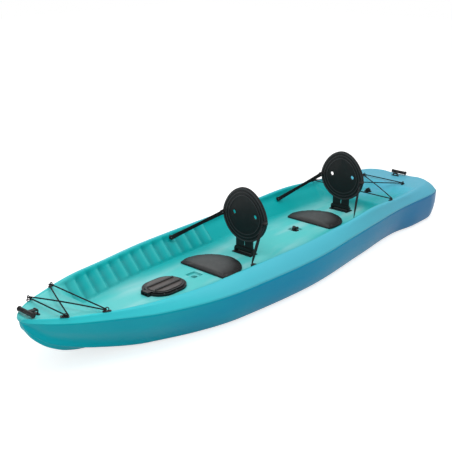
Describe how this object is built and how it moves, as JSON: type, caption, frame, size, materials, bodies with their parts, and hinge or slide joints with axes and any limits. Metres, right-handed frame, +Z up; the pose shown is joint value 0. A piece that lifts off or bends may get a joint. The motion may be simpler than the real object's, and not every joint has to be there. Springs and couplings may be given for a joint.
{
  "type": "tandem kayak",
  "caption": "Sit-on-top kayak for paddlers one behind the other, with folding seat backs, floor hatch, stern well, laced bungees and carrying handles.",
  "frame": {"origin": "under the middle of the boat's length, on the surface that the keel strip rests on", "axes": "+X to the bow, +Y to port, +Z up"},
  "size_m": [3.35, 0.9, 0.56],
  "materials": {
    "deck_plastic": "semi-gloss moulded polyethylene, teal at the bow turning blue at the stern",
    "hull_plastic": "semi-gloss moulded polyethylene, teal at the bow turning blue at the stern",
    "black_plastic": "satin black",
    "pad_foam": "satin dark grey foam",
    "webbing": "woven black webbing",
    "bungee": "braided black sleeve",
    "seal_rubber": "matte",
    "plug_rubber": "matte black",
    "steel": "plain stainless"
  },
  "bodies": {
    "boat": {"deck": "deck_plastic", "hull": "hull_plastic", "front_scupper_tube": "hull_plastic", "rear_scupper_tube": "hull_plastic", "hatch_rim": "black_plastic", "hatch_gasket": "seal_rubber", "hatch_hinge_pin": "steel", "hatch_rim_screws": "steel", "front_seat_pad": "pad_foam", "rear_seat_pad": "pad_foam", "front_seat_bracket": "black_plastic", "rear_seat_bracket": "black_plastic", "front_seat_pin": "steel", "rear_seat_pin": "steel", "seat_bracket_screws": "steel", "strap_posts": "black_plastic", "strap_anchor_screws": "steel", "bow_pad_eyes": "black_plastic", "stern_pad_eyes": "black_plastic", "pad_eye_screws": "steel", "bow_bungee": "bungee", "stern_bungee": "bungee", "bow_handle_anchor": "black_plastic", "stern_handle_anchor": "black_plastic", "handle_anchor_screws": "steel", "drain_bush": "black_plastic", "drain_seal": "seal_rubber", "front_port_strap": "webbing", "front_starboard_strap": "webbing", "rear_port_strap": "webbing", "rear_starboard_strap": "webbing"},
    "front_back": {"front_seat_back": "black_plastic", "front_back_screws": "steel"},
    "rear_back": {"rear_seat_back": "black_plastic", "rear_back_screws": "steel"},
    "hatch": {"hatch_lid": "black_plastic"},
    "bow_handle": {"bow_handle_strap": "webbing", "bow_handle_grip": "black_plastic"},
    "stern_handle": {"stern_handle_strap": "webbing", "stern_handle_grip": "black_plastic"},
    "plug": {"scupper_plug": "plug_rubber"},
    "drain": {"drain_plug": "black_plastic"}
  },
  "joints": [
    {"name": "front_back_fold", "type": "hinge", "parent": "boat", "child": "front_back", "pos_m": [0.115, 0, 0.16], "axis": [0, 1, 0], "range_deg": [0, 75], "deforming": ["front_port_strap", "front_starboard_strap"]},
    {"name": "rear_back_fold", "type": "hinge", "parent": "boat", "child": "rear_back", "pos_m": [-0.885, 0, 0.175], "axis": [0, 1, 0], "range_deg": [0, 75], "deforming": ["rear_port_strap", "rear_starboard_strap"]},
    {"name": "hatch_lid_swing", "type": "hinge", "parent": "boat", "child": "hatch", "pos_m": [0.911, 0, 0.156], "axis": [0, 1, 0], "range_deg": [0, 110]},
    {"name": "bow_handle_lift", "type": "hinge", "parent": "boat", "child": "bow_handle", "pos_m": [1.58591, 0, 0.3039], "axis": [0, -1, 0], "range_deg": [0, 100]},
    {"name": "stern_handle_lift", "type": "hinge", "parent": "boat", "child": "stern_handle", "pos_m": [-1.58878, 0, 0.25855], "axis": [0, 1, 0], "range_deg": [0, 100]},
    {"name": "scupper_plug_pull", "type": "slide", "parent": "boat", "child": "plug", "axis": [0, 0, 1], "range_m": [0, 0.06]},
    {"name": "drain_plug_turn", "type": "hinge", "parent": "boat", "child": "drain", "pos_m": [-1.222, 0, 0.21], "axis": [0, 0, 1], "range_deg": [0, 720]}
  ]
}
